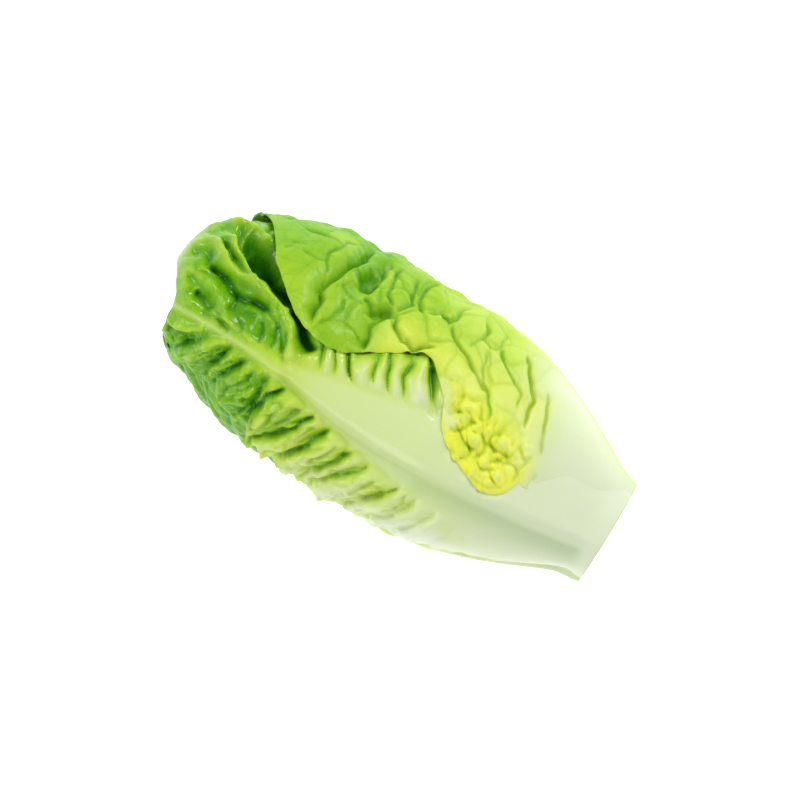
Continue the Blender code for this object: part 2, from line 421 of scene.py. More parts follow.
# Where the pale rib passes into green blade, below it and above it.
PALE_BELOW = (
    (0, -40), (30, -34), (40, -23), (70, -20.5), (90, -17.2), (100, -14.8), (110, -13.2), (120, -11.8),
    (130, -11), (150, -12),
)
PALE_ABOVE = (
    (0, 40), (55, 30), (64, 8), (70, 3), (90, -1.5), (100, -3.5), (112, -6), (125, -7.6), (150, -9),
)
FRONT_RIB_TONE = (
    (0, 0), (30, 0.04), (60, 0.12), (85, 0.15), (100, 0.19), (112, 0.29), (135, 0.52), (160, 0.58),
)
FRONT_BLADE_TONE = (
    (0, 0), (40, 0.12), (55, 0.22), (68, 0.35), (80, 0.45), (90, 0.50), (100, 0.55), (110, 0.66),
    (120, 0.75), (140, 0.75), (152, 0.68), (160, 0.58),
)
PLEAT_HEIGHT = ((0, 0.6), (50, 1.1), (70, 1.9), (90, 2.8), (115, 2.9), (135, 2.4), (155, 1.2))
FINGER_HEIGHT = 2.3
# The grooves between the lower side's pleats, and how deep each is.
LOWER_GROOVES = (
    (0.5, ((41.5, -20), (42.5, -25), (45, -31), (48, -38))),
    (0.6, ((49, -20), (50.6, -25.3), (53.2, -29.9), (57.2, -33.9), (60, -38))),
    (0.8, ((55.2, -19.5), (58.4, -27), (62.1, -31.6), (67, -34), (70, -38))),
    (1.6, ((62.6, -19.5), (65.3, -24.7), (69.3, -29.9), (74.6, -34), (77, -38))),
    (1.0, ((74, -19), (77.9, -25.3), (82.5, -29.3), (87, -32.8), (89, -38))),
    (1.8, ((79.8, -17.5), (83.1, -23.6), (86, -28.2), (90, -31.6), (93, -38))),
    (2.2, ((90.2, -16), (93.4, -23.6), (96.3, -28.8), (100.3, -32.6), (101, -38))),
    (2.6, ((97.5, -17), (102.6, -25.9), (107.6, -30.2), (110.7, -33), (111, -38))),
    (1.6, ((109.6, -14.5), (112.6, -19), (114.4, -23), (114.8, -28), (115, -36))),
    (1.6, ((115.2, -13), (116, -19), (115.6, -24), (118, -28), (121, -34))),
    (1.8, ((123.2, -11), (126.4, -17), (129, -22), (131, -28))),
    (2.4, ((130, -10.6), (131, -15), (132.8, -20), (134.5, -27))),
    (1.4, ((138, -10.4), (141, -16), (144.5, -20), (149, -24))),
)
# Creases across the pleats, each as its depth, how gently it rises again ahead of it, and its line.
LOWER_CREASES = (
    (1.0, 2.0, ((60.3, -22), (59.7, -26), (61, -29))),
    (2.4, 1.6, ((67, -26.5), (69, -29), (70.4, -31.5))),
    (0.8, 1.8, ((70.5, -22.5), (72.5, -27), (76, -31))),
    (0.8, 1.8, ((77.5, -22), (81, -26), (85, -29.5))),
    (1.0, 2.0, ((86.5, -20), (89, -24.5), (92, -28.5))),
    (1.0, 2.0, ((95, -19), (98, -24), (100.5, -28.5))),
    (1.4, 2.2, ((102, -16.5), (103.8, -21), (107.5, -25.5))),
    (1.0, 1.6, ((106.5, -17), (109, -22.5), (109.5, -27))),
    (1.4, 2.0, ((119.3, -13), (120.6, -17), (124.5, -21.5), (125, -26))),
    (1.0, 1.4, ((100.5, -29.5), (104, -32), (106, -35))),
    (1.2, 1.2, ((95.5, -31), (97.5, -34), (97, -37))),
    (1.4, 1.2, ((105.5, -31.5), (105, -34), (107, -37))),
)
# The grooves between the upper side's fingers of rib, and how deep each is.
UPPER_GROOVES = (
    (1.2, ((64, 0), (67.5, 4.5), (71.5, 10.5), (76, 18))),
    (1.0, ((74.6, 0.5), (77, 3.3), (80, 8), (80.4, 13), (82, 18))),
    (1.1, ((80.6, 0.6), (82.4, 2.2), (85, 6.6), (87.5, 14))),
    (0.5, ((87.6, 2.6), (89.4, 6.4), (90, 12))),
    (2.4, ((91.6, -3.2), (93.2, -1.8), (96, 2), (98.4, 6.4), (100, 10))),
    (0.6, ((98.6, -1.5), (101.4, 2.4), (104, 8))),
    (0.9, ((103, -4.4), (104.4, -1.5), (106, 3), (107, 7))),
)
# Fine grooves above the rib near the tip, given as the creases are.
TIP_RIBS = (
    (1.5, 1.2, ((116.3, -5.2), (116.6, -2), (118, 1.5))),
    (1.6, 1.2, ((120.2, -6), (120, -2.5), (121.5, 2))),
    (2.2, 2.6, ((124, -6.2), (124, -3), (126, 0.5))),
    (1.4, 1.4, ((129.5, -6.8), (131, -4.5), (134, -2.5))),
)
# Ridges and hollows, all but the first of them near the tip, as rise, width on the lower side, width on
# the upper side, and line.
TIP_FORMS = (
    (-2.2, 2.0, 2.6, ((65, 2.6), (68.5, 7.5), (72, 12.5), (74.5, 15.5))),
    (3.6, 1.7, 1.9, (
        (111.5, -5.5), (114, -2.5), (116.5, 1), (119.5, 4.6), (123.5, 7.6), (128.5, 8.8), (134, 8.6),
    )),
    (3.2, 1.4, 1.7, ((131, 8.8), (136, 8.8), (140.5, 8.6), (144.5, 9.6), (148.5, 11.6), (153, 13.6))),
    (3.8, 1.8, 1.3, ((134.5, 8.8), (138, 11.2), (142, 13), (145.5, 14.4), (149.5, 17.5))),
    (-1.8, 0.8, 0.9, ((136.5, 10), (140.5, 10.9), (145, 11.9), (150, 14.6))),
    (-6.5, 2.2, 2.4, ((108, -0.5), (111.5, 2), (116, 6.2), (120.5, 9))),
    (-10.0, 3.0, 4.5, ((120, 9.5), (125, 12.5), (131, 14.3), (137.5, 15.3), (142, 16.6))),
    (-4.2, 3.0, 5.0, ((128, 16), (134, 18), (140, 18.6), (144, 18.4))),
    (-4.2, 1.9, 1.4, ((125.5, 4.8), (130, 4.4), (134, 3.4), (138, 3.6), (142, 5), (146, 6.4), (150, 7.4))),
    (-2.4, 2.6, 2.2, ((128, 0.5), (133, 0), (138, 0.5))),
    (2.8, 1.6, 2.6, ((137, 22.2), (142, 22.6), (147, 22.4), (151.5, 20.5))),
    (1.8, 1.2, 1.4, ((134.5, -6.5), (137.5, -3.6), (141, -0.8), (146, 1.4), (151, 2.2), (155, 1))),
    (-2.6, 2.2, 1.8, ((141.5, -5.2), (145.5, -3.2), (149, -3))),
    (1.2, 1.6, 1.6, ((148, -7.5), (152, -4.5), (155, 0))),
    (1.3, 0.8, 0.9, ((113, -6.8), (115.6, -3.6), (118.4, 0.4), (121.5, 3.4), (125.8, 5.6), (131, 6))),
    (0.9, 0.7, 0.7, ((117.5, -5.5), (119.5, -1.5), (122.5, 1.6), (126.5, 3))),
    (1.1, 0.8, 0.8, ((137, 2.8), (141, 4.6), (145, 5.4), (149, 5.2), (153, 3.8))),
    (1.0, 0.8, 0.8, ((125, -7.4), (130, -5.8), (136, -5.6), (142, -7.2))),
    (-1.3, 1.0, 1.0, ((133, -7.6), (139, -6.8), (145, -7.6))),
    (-1.4, 1.8, 1.8, ((149, 9.5), (153, 9), (157, 7))),
    (1.2, 2.6, 2.6, ((150, 14), (154, 13), (157, 10))),
    (1.6, 1.4, 1.4, ((132.5, -10), (136, -12.5), (139, -15.5))),
    (1.5, 1.6, 1.6, ((140, -10.5), (145, -13.8), (150, -15.2))),
    (-1.6, 2.0, 2.0, ((141, -17), (146, -16.8), (151, -17.6))),
    (1.3, 1.6, 1.6, ((112.5, -19), (112.2, -23), (110, -26.5))),
    (1.6, 2.0, 2.0, ((118.5, -18), (119.3, -22), (118, -26))),
)


def patchy(sheet):
    """How deep the painted shade in the creases is from place to place."""
    least = 0.7 if sheet.leaf.number == LAPPING else 0.3
    return np.clip(0.8 + 0.7 * waves(sheet.x, sheet.y, 61, 9), least, 1)


def groove(sheet, line, depth, gentle, steep=0.6, fade=0.14, where=1.0):
    """A pleat's groove: the sheet plunges at the line, and rises gently again ahead of it. Returns how
    strongly painted shade lies along it.
    """
    away, _, share, ahead = distance_to(sheet.leaf.over_skin(line), sheet.x, sheet.y)
    ends = ramp(share, -0.001, fade) * ramp(1 - share, -0.001, fade)
    near = np.exp(-away / np.where(ahead, gentle, steep))
    sheet.lift -= depth * near * (0.15 + 0.85 * ends) * where
    reach = np.maximum(away - 0.25, 0) / np.where(ahead, 0.4 * gentle + 0.1, 0.3)
    return min(depth / 1.1, 1) * np.exp(-reach) * ends * where * patchy(sheet)


def pleats(sheet, grooves, zone, height, lean=1.7, full=7.5):
    """Gathered blade: from each groove it swells forward, and then drops into the next one. Returns the
    painted shade along the grooves, and the swell.
    """
    behind = np.full(sheet.station.shape, 9.0)
    before = np.full(sheet.station.shape, 9.0)
    crease_shade = np.zeros(sheet.station.shape)
    for depth, line in grooves:
        away, _, _, ahead = distance_to(sheet.leaf.over_skin(line), sheet.x, sheet.y)
        behind = np.where(ahead, np.minimum(behind, away), behind)
        before = np.where(ahead, before, np.minimum(before, away))
        sheet.lift -= depth * np.exp(-away / np.where(ahead, 1.3, 0.6)) * zone
        line_shade = min(depth / 1.6, 1) * np.exp(-away / np.where(ahead, 1.2, 0.5))
        crease_shade = np.maximum(crease_shade, line_shade * zone)
    width = behind + before
    part = (behind / width) ** lean
    swell = 0.5 * np.sin(np.pi * part) ** 0.75 + 0.5 * (1 - np.abs(2 * part - 1))
    crease_shade *= patchy(sheet)
    sheet.lift += zone * height * np.minimum(width / full, 1.25) * swell
    return crease_shade, swell * zone


def arc_of(line, sheet):
    """The arc at which a line given as (station, sideways) passes each of the sheet's stations."""
    return sheet.skin * np.arcsin(np.clip(curve_through(line, sheet.station) / sheet.skin, -1, 1))


def front_keel(sheet):
    """The keel of the rib, with a long gentle side above and a short steep one below."""
    station = sheet.station
    keel, side, _, _ = distance_to(sheet.leaf.over_skin(KEEL), station, sheet.arc)
    above = curve_through(KEEL_WIDTH_ABOVE, station)
    below = curve_through(KEEL_WIDTH_BELOW, station)
    height = curve_through(KEEL_HEIGHT, station)
    width = np.where(side > 0, above, below)
    sheet.lift += height * np.exp(-((keel / width) ** 1.35)) - 0.8 * ramp(70 - station, 0, 30)
    return keel


def front_pleats(sheet, zone_low, zone_high, tip_zone):
    """Pleats below the rib, fingers of rib above it and fine ribs by the tip, and the painted shade in their
    creases.
    """
    station = sheet.station
    tall = curve_through(PLEAT_HEIGHT, station) * (1 + 0.3 * waves(station, sheet.arc, 62, 16))
    crease_shade, swell = pleats(sheet, LOWER_GROOVES, zone_low, tall)
    slit, finger = pleats(sheet, UPPER_GROOVES, zone_high, FINGER_HEIGHT, lean=1.0, full=5.5)
    slit *= 0.45 + 0.55 * bump(station, 92, 101, 2)
    crease_shade = np.maximum(crease_shade, slit)
    for depth, gentle, line in LOWER_CREASES:
        crease_shade = np.maximum(crease_shade, 0.8 * groove(sheet, line, depth, gentle, where=zone_low))
    for depth, gentle, line in TIP_RIBS:
        crease_shade = np.maximum(crease_shade, 0.6 * groove(sheet, line, 0.9 * depth, gentle, where=tip_zone))
    return crease_shade, swell, slit, finger


def front_folds(sheet, seen):
    """Folds the tip, and tells how strongly the painted highlights on its ridges and the painted shade in its
    hollows show.
    """
    ridge_highlight = hollow_shade = 0 * sheet.station
    for rise, below, above, line in TIP_FORMS:
        form = fold_line(sheet, line, rise, below, above, where=seen)
        if rise > 0:
            ridge_highlight = np.maximum(ridge_highlight, form * min(rise / 3, 1))
        else:
            hollow_shade = np.maximum(hollow_shade, form * min(-rise / 4, 1) * patchy(sheet))
    return ridge_highlight, hollow_shade * (1 - 0.5 * bump(sheet.station, 60, 80, 2))


def front_crumple(sheet, seen, blade, zone_low):
    """Crushes the pleats a little, the folded tip more, and the blade by the lower margin finely."""
    station, arc = sheet.station, sheet.arc
    along_pleats = station - 0.6 * np.abs(arc)
    sheet.lift += zone_low * 1.2 * crumple(along_pleats, 0.55 * arc, 14, 6) * ramp(station, 40, 80)
    fine = 0.2 + 0.4 * ramp(-sheet.sideways, 9, 14)
    crushed = 0.9 * crumple(station, arc, 15, 12) + fine * crumple(station, arc, 19, 5)
    sheet.lift += seen * blade * (ramp(station, 104, 122) * crushed)
    ragged = zone_low * ramp(-sheet.sideways, 23, 30) * bump(station, 72, 114, 5) * ramp(sheet.edge, 1, 5)
    sheet.lift += 0.55 * ragged * crumple(along_pleats, arc, 18, 6.5)


def front_margin(sheet):
    """The lower margin is tucked in near the base and frilled further on, and the tip's edge turns down."""
    station, arc = sheet.station, sheet.arc
    low_edge = np.where(sheet.across < 0, np.exp(-sheet.edge / 3.5), 0)
    frill = np.sin(2 * np.pi * (station / 5.0 + 0.5 * waves(station, 0 * arc, 17, 22)))
    sheet.lift += low_edge * ramp(station, 20, 60) * (0.6 * waves(station, arc, 16, 7) - 0.6)
    sheet.lift += low_edge * 1.3 * frill * bump(station, 92, 112, 5)
    sheet.lift -= low_edge * (1 - ramp(station, 30, 50)) * 2.2 * ramp(station, 0, 6)
    sheet.lift -= 1.2 * np.exp(-sheet.end / 3.0)


def front_leaf_relief(sheet):
    """A broad keeled rib, blade gathered along both sides of it, and a folded tip."""
    station = sheet.station
    seen = bump(sheet.bearing, -88, 88, 8)
    past_low = arc_of(PALE_BELOW, sheet) - sheet.arc
    past_high = sheet.arc - arc_of(PALE_ABOVE, sheet)
    blade = np.maximum(ramp(past_low, -3.0, 6.0), ramp(past_high, -2.0, 6.0))
    zone_low = ramp(past_low, -1.0, 4.5) * ramp(station, 34, 52) * seen
    zone_low *= 0.3 + 0.7 * ramp(sheet.edge, 0, 8) * (sheet.across < 0)
    zone_high = ramp(past_high, -0.5, 4.0) * ramp(station, 60, 70) * (1 - ramp(station, 108, 114)) * seen
    tip_zone = bump(station, 114, 132, 3) * bump(sheet.sideways, -7.5, 2, 2.5) * seen

    keel = front_keel(sheet)
    shade = fold_line(sheet, KEEL_SHADE, -1.3, 6.5, 3.2, fade=0.06)
    sheet.wander(0.5, 8, 11)
    crease_shade, swell, slit, finger = front_pleats(sheet, zone_low, zone_high, tip_zone)
    ridge_highlight, hollow_shade = front_folds(sheet, seen)
    sheet.settle()
    front_crumple(sheet, seen, blade, zone_low)
    front_margin(sheet)
    # Painted shade in the creases, in the tip's hollows and in the dip below the rib.
    sheet.painted_shade = np.maximum(sheet.painted_shade, np.maximum(crease_shade, hollow_shade))
    sheet.painted_shade = np.maximum(sheet.painted_shade, 0.62 * shade * (1 - ramp(blade, 0.05, 0.6)))

    rib_tone = curve_through(FRONT_RIB_TONE, station)
    blade_tone = curve_through(FRONT_BLADE_TONE, station)
    sheet.tone = rib_tone * (1 - blade) + blade_tone * blade
    # Painted light: the fingers, the pleats' swells and the tip's ridges are painted paler as highlights; the
    # slits, the dip below the rib and the wedge by the lapping leaf darker as shade; the lower margin paler
    # as a rim of light.
    sheet.tone -= 0.30 * finger * bump(station, 66, 106, 4) + 0.10 * swell
    sheet.tone -= 0.12 * ridge_highlight + 0.10 * swell * bump(station, 76, 110, 6) - 0.07 * shade * blade
    sheet.tone += 0.20 * slit * (1 - finger) + 0.20 * zone_high * ramp(past_high, 5, 13)
    sheet.tone += 0.5 * hollow_shade * bump(station, 66, 78, 3)
    sheet.tone -= 0.20 * seen * ramp(-sheet.sideways, 26, 34) * bump(station, 36, 116, 8)
    sheet.rib = np.maximum(sheet.rib, 0.55 * np.exp(-(keel**2)) * ramp(station, 106, 122))


# ---------------------------------------------------------------- the lapping leaf

# The middles of the pillows of blade between its creases.
LAPPING_PILLOWS = (
    (56, 37.5), (62, 35), (69, 34), (76, 36.5), (85.4, 35), (94, 35.5), (100.5, 33), (106, 33),
    (54, 32), (49, 30.5), (55, 25.5), (49.5, 20.5), (62, 28.5), (66, 25), (61, 16.5), (67.5, 20.5),
    (72.5, 20.5), (78.6, 28), (85.8, 24), (93.3, 28.3), (90.5, 15.5), (100, 17), (103.5, 8),
    (109.5, 17), (106, 25), (118, 36), (127, 35), (115.5, 27), (125, 29), (134, 29), (121, 18),
    (118, 11), (130, 22), (42, 8.3), (50, 11.5), (57.5, 9), (44, 0), (52, 2.5), (38.5, -3), (47, -6.5),
    (56, -1.5), (61.5, 5), (65.5, 11), (36, 12), (31, 2), (27, 4), (27, 12), (20, 8), (40, 20),
    (38, 29), (30, 22),
)
# Creases, each as its depth, how gently it rises again ahead of it, and its line.
LAPPING_CREASES = (
    (1.4, 1.0, ((51.2, 34.6), (48.5, 31.3), (44.2, 27), (42.1, 23.4), (41.5, 19), (39.6, 13))),
    (1.1, 1.0, ((39.5, 27.5), (36.6, 22.8), (35.3, 18.5), (33.5, 14.5), (31.5, 9))),
    (1.0, 0.9, ((59, 32), (57.4, 30.1), (52.8, 27), (48.5, 24.3), (46.7, 22.8), (44, 17.5))),
    (0.7, 0.8, ((61.4, 29.8), (60.2, 27), (58.4, 23.4), (55.5, 20))),
    (1.0, 1.0, ((62, 29.8), (60.8, 25.2), (58.4, 20.3), (54.7, 17.2), (52.8, 13.6), (51, 8.6))),
    (1.5, 1.3, ((76.4, 31.5), (73.1, 27), (65.7, 23.4), (58.4, 19.4), (55.3, 17))),
    (0.8, 0.6, ((59, 37), (59.2, 33), (59.2, 32))),
    (1.0, 0.7, ((59, 31.8), (62, 30.6), (65, 31.6), (65.3, 36))),
    (0.8, 0.7, ((66, 36.5), (65.5, 31.5), (68, 26.5))),
    (2.0, 2.0, ((74, 38.5), (75, 35.5), (75.2, 33), (76.8, 31.3), (80.4, 31.4), (84.7, 28.7))),
    (2.4, 1.8, ((85.3, 38.5), (88.4, 35), (87.2, 31.3), (85.3, 28.4))),
    (1.6, 1.4, ((92.1, 37.5), (91.2, 33.2), (89.6, 30.1), (90.9, 27), (92.6, 24.6))),
    (1.8, 1.4, ((97.4, 37.5), (98.2, 32.6), (97, 27.7), (93.3, 25.2))),
    (4.0, 3.1, ((101.2, 37.5), (101.6, 33), (102.2, 28.9), (103, 25))),
    (2.4, 1.3, ((76.5, 22.3), (79, 19.8), (82, 17.6), (86, 17.4), (90, 20.5), (92.6, 24.8))),
    (3.2, 2.7, ((92.8, 24.6), (95, 21), (96.6, 17), (95.6, 12), (94.4, 8.6))),
    (1.6, 1.8, ((97.5, 19.5), (100.5, 23), (104, 23.4))),
    (0.7, 0.6, ((108.7, 20.3), (106.8, 16), (109.9, 10.5), (111.2, 8.6))),
    (5.0, 3.1, (
        (107.5, 39.5), (109.3, 35), (111.7, 28.9), (114.6, 23), (115.4, 18.5), (113.8, 12.3), (113.2, 7.2),
    )),
    (0.8, 0.6, ((113.5, 38), (117.6, 33.5), (119.4, 30), (119.4, 27), (117.2, 23.5))),
    (0.6, 0.6, ((119.4, 27), (123, 25.8), (127.5, 25.5))),
    (0.7, 0.6, ((117.6, 33.8), (124, 33), (131, 32))),
    (0.5, 0.7, ((127, 28.5), (131, 26), (132.5, 23.5))),
    (0.6, 0.8, ((37.4, 11.4), (39, 6), (39.6, 4.4), (43.6, 4.2), (47.6, 3.8), (52.4, 6.4))),
    (0.7, 1.7, ((41, 3.4), (43.2, 1), (46.4, 2.2))),
    (0.8, 1.8, ((49, 1.6), (52.4, 0.4), (56.6, 2.8), (59.8, 4.2))),
    (0.6, 1.0, ((52.6, 6.6), (56, 7.6), (60, 8.8), (62.4, 12.2))),
    (0.5, 1.2, ((36, -5.6), (39, -6.6), (43.6, -7.6), (48, -7))),
    (0.4, 0.6, ((45, 11), (45.2, 8), (44.6, 5.2))),
    (0.5, 0.8, ((29.2, 4.2), (29.5, 1.6), (29.6, -1.2))),
    (0.7, 1.0, ((33.6, 8), (34, 3), (34.4, -2.4))),
)
# Dents, and low swells, each as its rise, its width on either side, and its line.
LAPPING_DENTS = (
    (-3.2, 2.2, 2.2, ((104.2, 33.5), (105.4, 29), (104.6, 24.5))),
    (-2.6, 1.7, 1.9, ((93, 24.5), (96, 22.5), (98.6, 20.5))),
    (1.4, 1.6, 1.6, ((109.5, 31), (110.5, 26), (112, 21))),
    (0.9, 4.0, 4.0, ((100, 13), (104, 9), (110, 8))),
)
# Broad sunk bands near the base, painted darker as shade, each as half its width and its line.
LAPPING_BANDS = (
    (0.65, ((50.8, 34), (48.5, 31), (44.4, 26.8), (42.4, 23.4), (41.4, 19), (40, 14.5))),
    (0.5, ((39.3, 27), (36.8, 22.8), (35.4, 18.5), (34, 15.5))),
    (0.8, ((41.6, 1.8), (42.8, 0.4), (44, -0.6))),
    (0.7, ((50, 1.2), (51.4, 0.4), (53.6, 1.4))),
)
# The pale flap beside the lobe's notch.
LAPPING_FLAP = ((61, 2.5), (64, 7), (68.5, 13.5))
# How far the free margin is pressed down, and how green the blade is, along the leaf.
LAPPING_DROP = ((0, 0.9), (60, 0.9), (72, 1.3), (100, 1.3), (112, 0.3), (150, 0.3))
LAPPING_TONE = (
    (0, 0), (25, 0.05), (36, 0.14), (48, 0.27), (60, 0.36), (76, 0.43), (90, 0.50), (102, 0.56),
    (115, 0.60), (150, 0.68),
)


def pillows(sheet, seeds, seed):
    """The nearest pillow's border as a distance, how tall that pillow is, and its tilted top."""
    border, which = cells(sheet.x, sheet.y, seeds)
    rng = np.random.default_rng(seed)
    tall = rng.uniform(-1, 1, len(seeds))[which]
    tilt = rng.uniform(-1, 1, (len(seeds), 2))[which]
    middle = np.array(seeds)[which]
    slope = tilt[..., 0] * (sheet.x - middle[..., 0]) + tilt[..., 1] * (sheet.y - middle[..., 1])
    return border, tall, 0.35 * tall + 0.11 * slope


def lapping_creases(sheet, seen):
    """Creases and dents the blade, and tells how strongly the painted shade in them shows."""
    crease_shade = 0 * sheet.station
    dent = 0 * sheet.station
    for depth, gentle, line in LAPPING_CREASES:
        crease_shade = np.maximum(crease_shade, groove(sheet, line, depth, gentle, steep=0.5, where=seen))
    for rise, below, above, line in LAPPING_DENTS:
        form = fold_line(sheet, line, rise, below, above, where=seen)
        if rise < 0:
            dent = np.maximum(dent, form)
    return crease_shade, dent


def lapping_bands(sheet, seen, x, y):
    """Sinks the broad bands near the base, and paints shade into them between ends that taper."""
    for width, line in LAPPING_BANDS:
        fold_line(sheet, line, -0.5, width, width, where=seen)
        band, _, share, _ = distance_to(sheet.leaf.over_skin(line), x, y)
        taper = width * (0.5 + ramp(share, -0.001, 0.3) * ramp(1 - share, -0.001, 0.4))
        taper *= 0.8 + 0.35 * waves(sheet.station, sheet.arc, 29, 5)
        sheet.painted_shade = np.maximum(sheet.painted_shade, seen * np.exp(-((band / taper) ** 4)))


def lapping_margin(sheet):
    """The free margin: sunk into the front leaf where both grow from the stem, standing on it further on."""
    station = sheet.station
    free = sheet.across < 0
    grown_in = 1 - ramp(station, 18, 34)
    pitch = sheet.skin * LEAF_PITCH / BELLY_RADIUS * ramp(station, 0, SETTLED_STATION)
    sheet.lift -= np.where(free, np.exp(-sheet.edge / 7.0), 0) * grown_in * (pitch + 1.6)
    edge = np.where(free, np.exp(-sheet.edge / 4.0), 0) * (1 - grown_in)
    drop = curve_through(LAPPING_DROP, station)
    sheet.lift += edge * (0.5 * waves(station, sheet.arc, 26, 7) - drop)


def lapping_leaf_relief(sheet):
    """Blade in pillows between creases, with a crumpled yellow lobe by the base and a smoother tip."""
    station, arc = sheet.station, sheet.arc
    seen = 1 - ramp(sheet.bearing, 72, 96)
    grown = ramp(station, 30, 50)
    yellow = bump(station, 36, 61, 8) * (1 - ramp(sheet.sideways - 0.25 * (station - 48), 6, 17))
    tip = ramp(station, 108, 114)

    sheet.wander(0.6, 9, 21)
    x, y = sheet.x, sheet.y
    border, tall, facet = pillows(sheet, sheet.leaf.over_skin(LAPPING_PILLOWS), 23)
    amount = grown * (0.5 + 0.3 * yellow - 0.25 * tip + 0.35 * bump(station, 76, 108, 6))
    sheet.lift += seen * amount * ((facet + 0.8) * (1 - np.exp(-border / 0.45)) - 0.7)
    crease_shade, dent = lapping_creases(sheet, seen)
    sheet.settle()
    sheet.lift += seen * grown * 0.5 * waves(station, arc, 24, 18)
    inland = yellow * ramp(sheet.edge, 1, 9)
    sheet.lift += seen * inland * 0.9 * (1 - np.exp(-((border / 1.7) ** 2))) * (1 + 0.6 * tall)
    rough = 0.5 * yellow + 1.5 * inland + 0.4 * bump(station, 78, 112, 6) * ramp(sheet.sideways, 16, 26)
    sheet.lift += seen * rough * crumple(station, arc, 25, 9)
    # Painted shade along the pillows' borders, in the creases and in the dents.
    outline = seen * grown * (0.40 - 0.22 * tip - 0.3 * yellow)
    sheet.painted_shade = np.maximum(sheet.painted_shade, outline * np.exp(-border / 0.4))
    sheet.painted_shade = np.maximum(sheet.painted_shade, np.maximum(crease_shade, 0.75 * dent))
    lapping_bands(sheet, seen, x, y)
    lapping_margin(sheet)

    away, _, _, _ = distance_to(sheet.leaf.over_skin(LAPPING_FLAP), x, y)
    flap = np.exp(-((away / 2.0) ** 2))
    seen_tone = curve_through(LAPPING_TONE, station + 2.5 * waves(station, arc, 27, 16))
    seen_tone += 0.045 * tall * grown + 0.02 * bump(station, 74, 110, 5) * ramp(sheet.sideways, 22, 34)
    seen_tone -= 0.10 * bump(station, 60, 92, 6) * (1 - ramp(sheet.sideways, 18, 30))
    # Painted shade in the creases near the base.
    seen_tone += 0.10 * crease_shade * (1 - ramp(station, 50, 66))
    seen_tone -= 0.15 * tip * (1 - ramp(sheet.sideways, 14, 30)) + 0.08 * ramp(station, 132, 144)
    seen_tone += 0.12 * bump(station, 104, 112, 3) * ramp(sheet.sideways, 24, 32)
    seen_tone -= 0.10 * ramp(sheet.sideways, 22, 34) * (1 - ramp(station, 36, 60))
    seen_tone -= 0.16 * flap
    sheet.tone = sheet.tone * (1 - seen) + seen_tone * seen
    # Painted shade in the low places of the yellow lobe; its crests are left less yellow, as a whitish
    # painted highlight.
    low = blurred(sheet.lift, 30) - sheet.lift
    sheet.painted_shade = np.maximum(sheet.painted_shade, yellow * seen * np.clip(low / 0.8 - 0.1, 0, 0.75))
    sheet.warm = yellow * (0.85 + 0.2 * waves(station, arc, 28, 8) - 0.45 * np.clip(-low / 0.9, 0, 1))
    sheet.warm += 0.28 * bump(station, 38, 88, 6) * (1 - ramp(sheet.sideways, 20, 30)) * (1 - yellow)
    sheet.warm *= seen * (1 - 0.6 * flap)


# ---------------------------------------------------------------- building the pieces

CEILING_ROWS, CEILING_COLUMNS = 321, 360
CEILING_RADIUS = 34.0
CEILING_SPREAD = 40
LEAF_GAP = 0.3
UV_MM = 100  # a unit of a leaf's map is this long
# The radius still free for the leaves to come, all along and round the head.
ceiling = np.full((CEILING_ROWS, CEILING_COLUMNS), 99.0)


def ceiling_place(station, bearing):
    """The row and column of the ceiling at a place, with their fractions."""
    row = np.clip(station / HEAD_LENGTH * (CEILING_ROWS - 1), 0, CEILING_ROWS - 1.001)
    return row, np.mod(bearing, 360) * CEILING_COLUMNS / 360


def spread(field, slope):
    """Lets each low place in the field hold down its neighbours, less and less with distance."""
    row_step = HEAD_LENGTH / (CEILING_ROWS - 1) * slope
    column_step = np.radians(360 / CEILING_COLUMNS) * CEILING_RADIUS * slope
    for _ in range(CEILING_SPREAD):
        padded = np.pad(field, ((1, 1), (0, 0)), mode="edge")
        field = np.minimum(field, np.minimum(padded[:-2], padded[2:]) + row_step)
        field = np.minimum(field, np.minimum(np.roll(field, 1, 1), np.roll(field, -1, 1)) + column_step)
    return field


def hold_under_ceiling(sheet):
    """Presses a sheet down below the leaves outside it."""
    field = spread(ceiling, 0.75)
    row, column = ceiling_place(sheet.station, sheet.bearing)
    i, j = row.astype(int), column.astype(int) % CEILING_COLUMNS
    u, v = row - i, column - np.floor(column)
    i1, j1 = np.minimum(i + 1, CEILING_ROWS - 1), (j + 1) % CEILING_COLUMNS
    room = (
        field[i, j] * (1 - u) * (1 - v) + field[i1, j] * u * (1 - v)
        + field[i, j1] * (1 - u) * v + field[i1, j1] * u * v
    )
    gap = LEAF_GAP
    if sheet.leaf.number == FRONT:
        merged = 3.0 * (1 - ramp(sheet.station, 18, 38)) + 0.34 * (1 - ramp(sheet.station, 96, 104))
        gap = LEAF_GAP - merged * (np.abs(sheet.bearing) < 60)
    over = sheet.skin + sheet.lift - (room - gap)
    sheet.lift -= (over + np.sqrt(over**2 + LEAF_GAP**2)) / 2
    sheet.lift = np.maximum(sheet.lift, 1.0 - sheet.skin)


def in_head(station, bearing, radius, inset):
    """Points in metres at places in the head, never lower than the table and the leaves under them."""
    angle = np.radians(bearing)
    drop = AXIS_Z * (1 - inset / BELLY_RADIUS)
    up = np.maximum(FLATNESS * radius * np.cos(angle), -drop)
    return np.stack([CUT_X + station, AXIS_Y - radius * np.sin(angle), AXIS_Z + up], axis=-1) * MM


